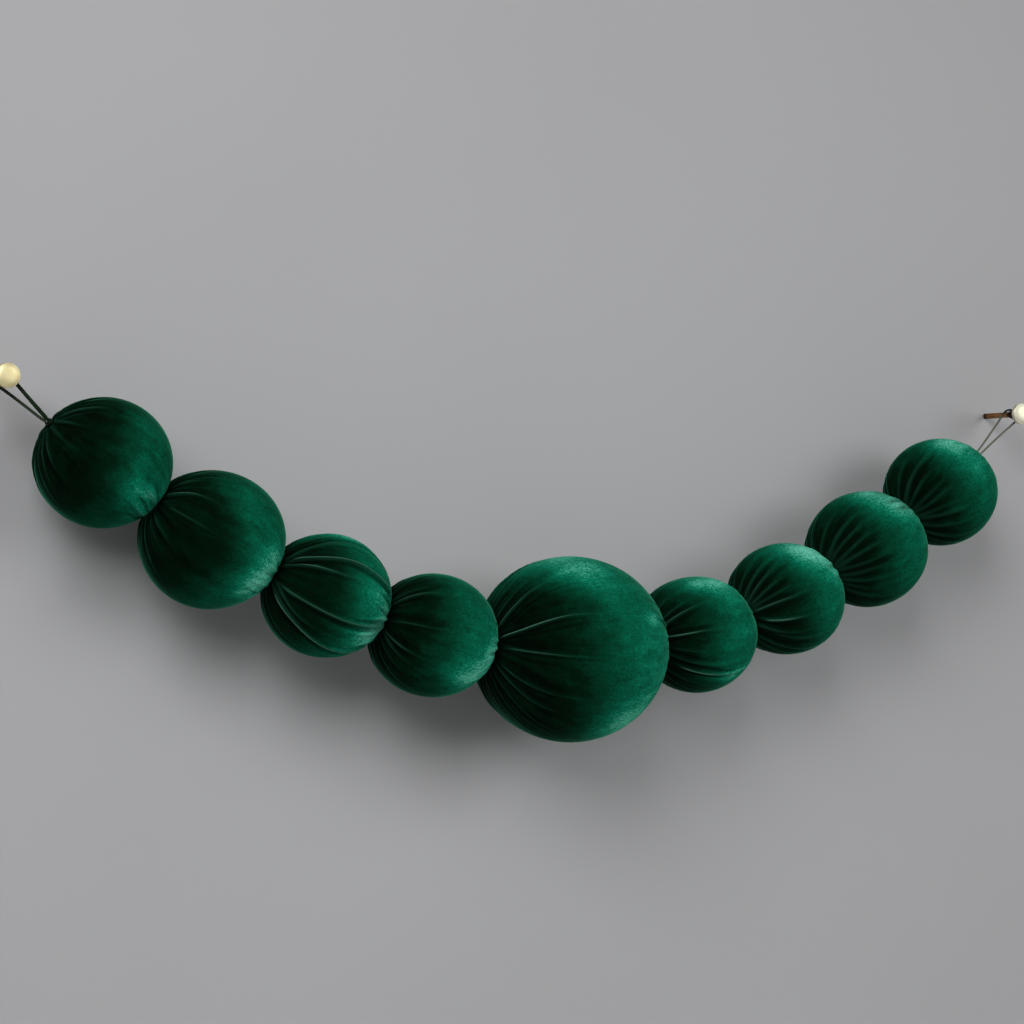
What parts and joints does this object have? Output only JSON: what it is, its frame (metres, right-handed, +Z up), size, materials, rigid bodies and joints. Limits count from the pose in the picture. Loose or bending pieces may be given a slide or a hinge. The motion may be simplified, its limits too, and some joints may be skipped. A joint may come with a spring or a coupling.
{
  "type": "ball garland on wall pegs",
  "caption": "Swag of gathered velvet balls strung pole to pole, largest in the middle, hung by a string loop at each end from brass wall pegs.",
  "frame": {"origin": "centre of the left peg's flat end, where it leaves the wall", "axes": "+X to the right along the wall, +Y into the wall, +Z up"},
  "size_m": [0.7974, 0.1298, 0.2393],
  "materials": {
    "velvet": "emerald velvet with a short brushed pile",
    "string": "matte twisted dark green string",
    "brass": "satin pale brass"
  },
  "bodies": {
    "root": {"ball_1": "velvet", "ball_2": "velvet", "ball_3": "velvet", "ball_4": "velvet", "ball_5": "velvet", "ball_6": "velvet", "ball_7": "velvet", "ball_8": "velvet", "ball_9": "velvet", "knot_left": "string", "knot_right": "string", "loop_left": "string", "loop_right": "string", "peg_left": "brass", "peg_right": "brass"}
  },
  "joints": []
}
